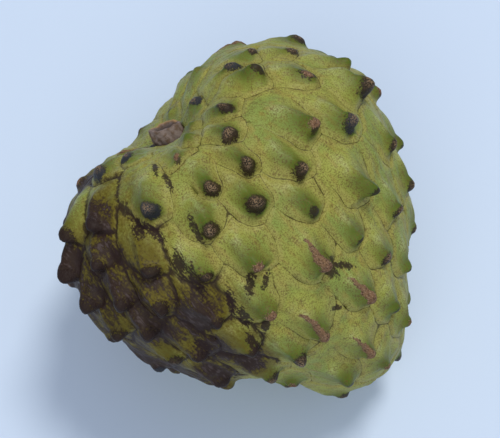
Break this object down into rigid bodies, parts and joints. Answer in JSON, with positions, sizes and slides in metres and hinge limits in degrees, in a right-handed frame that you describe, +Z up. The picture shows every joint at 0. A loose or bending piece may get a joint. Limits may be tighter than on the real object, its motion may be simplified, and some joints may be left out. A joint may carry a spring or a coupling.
{
  "type": "cherimoya",
  "caption": "Heart-shaped cherimoya lying on its side, its green skin raised in overlapping scales that end in knobs, with a short woody stalk stub in the cleft",
  "frame": {"origin": "The middle of the small flat spot that the fruit rests on, on the resting surface", "axes": "+Z is up. +X is the level direction in which the fruit's tip points. +Y is across the two lobes, towards the lobe that the picture shows furthest away"},
  "size_m": [0.1185, 0.1266, 0.1085],
  "materials": {
    "skin": "matte living skin with a faint wax bloom, yellow-green with brown speckles, bruises and dark knob tips",
    "bark": "dry rough grey-brown bark with a cut end"
  },
  "bodies": {
    "root": {"fruit": "skin", "stalk": "bark"}
  },
  "joints": []
}
